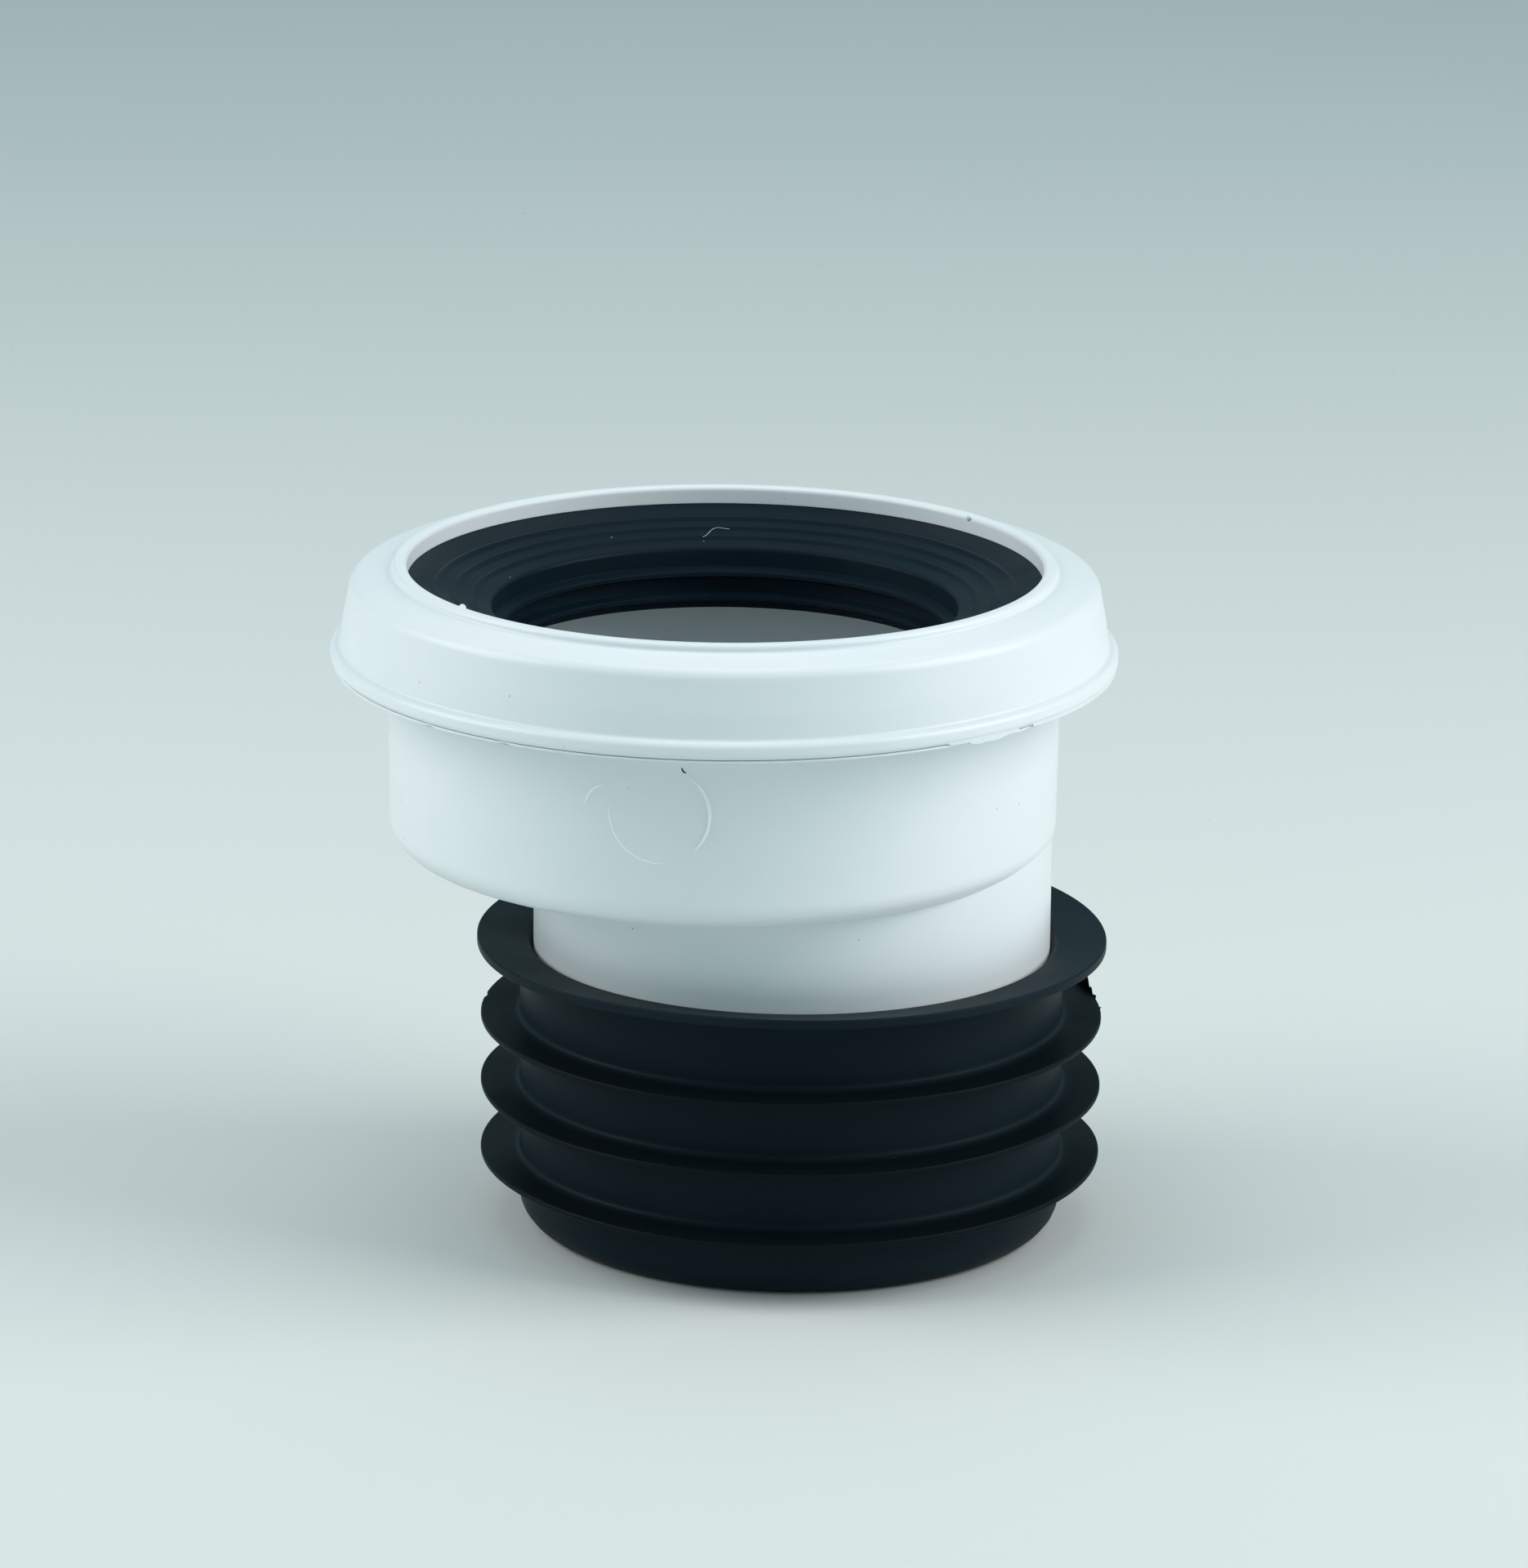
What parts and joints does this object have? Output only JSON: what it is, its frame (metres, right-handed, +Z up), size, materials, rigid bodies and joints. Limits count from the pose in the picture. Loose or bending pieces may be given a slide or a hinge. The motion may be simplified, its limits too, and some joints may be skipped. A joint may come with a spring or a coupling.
{
  "type": "offset toilet pan connector",
  "caption": "Offset pan connector: white socket with a clip-on cap and rubber inlet seal, on an off-centre spigot with a black finned rubber seal.",
  "frame": {"origin": "under the inlet axis, on the plane that the connector stands on", "axes": "+Z up along the inlet axis, towards the pan; +X from the inlet axis towards the outlet axis"},
  "size_m": [0.1398, 0.1398, 0.12],
  "materials": {
    "body_plastic": "white injection-moulded polypropylene, soft sheen",
    "cap_plastic": "white injection-moulded polypropylene, soft sheen",
    "inlet_rubber": "black moulded rubber, satin",
    "outlet_rubber": "black moulded rubber, satin"
  },
  "bodies": {
    "root": {"body": "body_plastic", "retaining_cap": "cap_plastic", "inlet_seal": "inlet_rubber", "outlet_seal": "outlet_rubber"}
  },
  "joints": []
}
